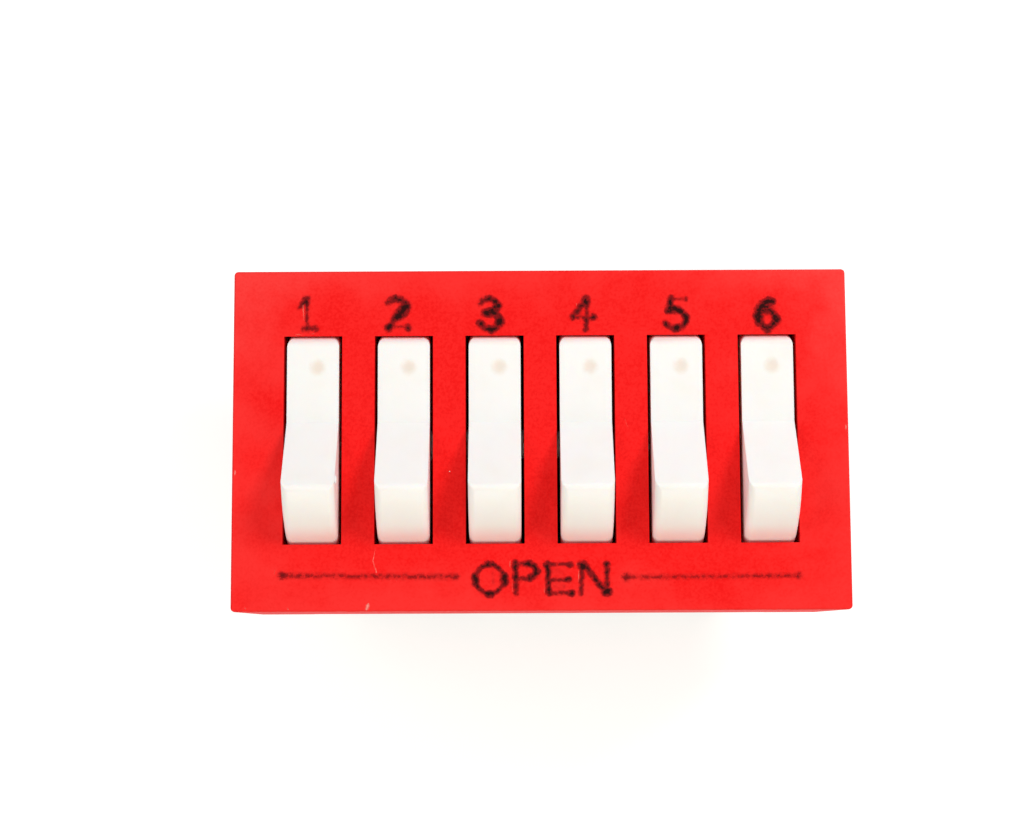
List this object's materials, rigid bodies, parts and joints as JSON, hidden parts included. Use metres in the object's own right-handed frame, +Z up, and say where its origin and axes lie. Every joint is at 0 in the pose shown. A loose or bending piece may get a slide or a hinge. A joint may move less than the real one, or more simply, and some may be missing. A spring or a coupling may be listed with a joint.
{
  "type": "dip switch",
  "caption": "Raised-rocker DIP switch: red body, white rockers over spring-loaded contact balls, and through-hole terminals in two rows.",
  "frame": {"origin": "centre of the terminal field on the board's surface, which the standoff feet touch", "axes": "+X along the row from position 1 to position 6, +Y towards the numbered side, +Z up out of the face"},
  "size_m": [0.0172, 0.0096, 0.0108],
  "materials": {
    "cover": "moulded red thermoplastic, fine matte grain",
    "rocker": "moulded white thermoplastic, satin",
    "base": "moulded black glass-filled thermoplastic",
    "seal": "cured black epoxy",
    "terminal": "tinned copper alloy",
    "ball": "gold plated",
    "spring": "bright spring wire"
  },
  "bodies": {
    "housing": {"cover": "cover", "base": "base", "seal": "seal", "terminal_a_1": "terminal", "terminal_a_2": "terminal", "terminal_a_3": "terminal", "terminal_a_4": "terminal", "terminal_a_5": "terminal", "terminal_a_6": "terminal", "terminal_b_1": "terminal", "terminal_b_2": "terminal", "terminal_b_3": "terminal", "terminal_b_4": "terminal", "terminal_b_5": "terminal", "terminal_b_6": "terminal"},
    "rocker_1": {"rocker_1": "rocker", "contact_spring_1": "spring"},
    "rocker_2": {"rocker_2": "rocker", "contact_spring_2": "spring"},
    "rocker_3": {"rocker_3": "rocker", "contact_spring_3": "spring"},
    "rocker_4": {"rocker_4": "rocker", "contact_spring_4": "spring"},
    "rocker_5": {"rocker_5": "rocker", "contact_spring_5": "spring"},
    "rocker_6": {"rocker_6": "rocker", "contact_spring_6": "spring"},
    "ball_1": {"contact_ball_1": "ball"},
    "ball_2": {"contact_ball_2": "ball"},
    "ball_3": {"contact_ball_3": "ball"},
    "ball_4": {"contact_ball_4": "ball"},
    "ball_5": {"contact_ball_5": "ball"},
    "ball_6": {"contact_ball_6": "ball"}
  },
  "joints": [
    {"name": "rocker_1_tilt", "type": "hinge", "parent": "housing", "child": "rocker_1", "pos_m": [-0.00635, 0, 0.00464], "axis": [1, 0, 0], "range_deg": [0, 36]},
    {"name": "rocker_2_tilt", "type": "hinge", "parent": "housing", "child": "rocker_2", "pos_m": [-0.00381, 0, 0.00464], "axis": [1, 0, 0], "range_deg": [0, 36]},
    {"name": "rocker_3_tilt", "type": "hinge", "parent": "housing", "child": "rocker_3", "pos_m": [-0.00127, 0, 0.00464], "axis": [1, 0, 0], "range_deg": [0, 36]},
    {"name": "rocker_4_tilt", "type": "hinge", "parent": "housing", "child": "rocker_4", "pos_m": [0.00127, 0, 0.00464], "axis": [1, 0, 0], "range_deg": [0, 36]},
    {"name": "rocker_5_tilt", "type": "hinge", "parent": "housing", "child": "rocker_5", "pos_m": [0.00381, 0, 0.00464], "axis": [1, 0, 0], "range_deg": [0, 36]},
    {"name": "rocker_6_tilt", "type": "hinge", "parent": "housing", "child": "rocker_6", "pos_m": [0.00635, 0, 0.00464], "axis": [1, 0, 0], "range_deg": [0, 36]},
    {"name": "ball_1_press", "type": "slide", "parent": "rocker_1", "child": "ball_1", "axis": [0, 0.309, 0.9511], "range_m": [0, 0.00015], "stiffness_N_per_m": 150, "deforming": ["contact_spring_1"]},
    {"name": "ball_2_press", "type": "slide", "parent": "rocker_2", "child": "ball_2", "axis": [0, 0.309, 0.9511], "range_m": [0, 0.00015], "stiffness_N_per_m": 150, "deforming": ["contact_spring_2"]},
    {"name": "ball_3_press", "type": "slide", "parent": "rocker_3", "child": "ball_3", "axis": [0, 0.309, 0.9511], "range_m": [0, 0.00015], "stiffness_N_per_m": 150, "deforming": ["contact_spring_3"]},
    {"name": "ball_4_press", "type": "slide", "parent": "rocker_4", "child": "ball_4", "axis": [0, 0.309, 0.9511], "range_m": [0, 0.00015], "stiffness_N_per_m": 150, "deforming": ["contact_spring_4"]},
    {"name": "ball_5_press", "type": "slide", "parent": "rocker_5", "child": "ball_5", "axis": [0, 0.309, 0.9511], "range_m": [0, 0.00015], "stiffness_N_per_m": 150, "deforming": ["contact_spring_5"]},
    {"name": "ball_6_press", "type": "slide", "parent": "rocker_6", "child": "ball_6", "axis": [0, 0.309, 0.9511], "range_m": [0, 0.00015], "stiffness_N_per_m": 150, "deforming": ["contact_spring_6"]}
  ]
}
